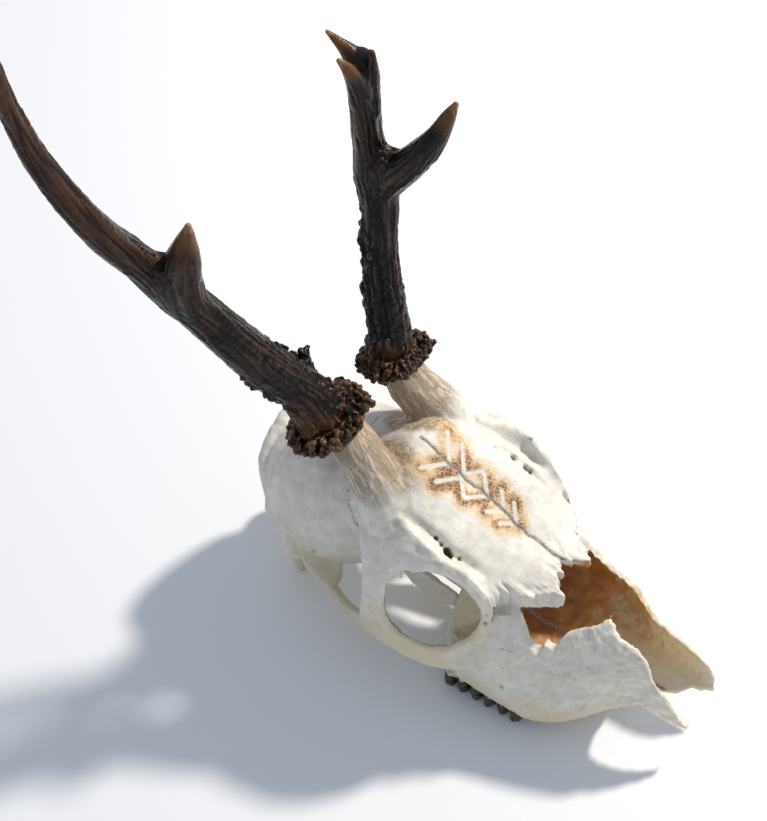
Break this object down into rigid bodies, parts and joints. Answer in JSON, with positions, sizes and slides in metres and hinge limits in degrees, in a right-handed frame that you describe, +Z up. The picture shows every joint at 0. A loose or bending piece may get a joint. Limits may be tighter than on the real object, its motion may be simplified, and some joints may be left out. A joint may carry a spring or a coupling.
{
  "type": "roe deer skull",
  "caption": "Skull of a roe buck with its antlers, without the lower jaw and nasal bones, resting on its molars and the processes behind the ears.",
  "frame": {"origin": "on the floor under the middle of the whole model", "axes": "+Z up, -Y towards the nose, -X towards the animal's right side"},
  "size_m": [0.1102, 0.2078, 0.2861],
  "materials": {
    "skull_bone": "dry bleached bone, off-white and matte, with fine sutures, pits and a scorched ornament on the forehead",
    "face_bone": "dry bone, cream to ochre, thin and slightly translucent at the broken edges, with dark stained molars",
    "antler": "hard antler, near-black brown with long furrows, polished tan tips and a low gloss",
    "antler_burr": "knobbly antler burr, dark brown with ochre worn tops"
  },
  "bodies": {
    "root": {"occiput": "skull_bone", "braincase": "skull_bone", "frontal_bones": "skull_bone", "zygomatic_arch_right": "face_bone", "zygomatic_arch_left": "face_bone", "maxilla_right": "face_bone", "maxilla_left": "face_bone", "pedicle_right": "skull_bone", "pedicle_left": "skull_bone", "antler_burr_right": "antler_burr", "antler_burr_left": "antler_burr", "antler_beam_right": "antler", "antler_upper_right": "antler", "antler_front_tine_right": "antler", "antler_beam_left": "antler", "antler_upper_left": "antler", "antler_top_tine_left": "antler", "antler_front_tine_left": "antler", "antler_rear_tine_left": "antler"}
  },
  "joints": []
}
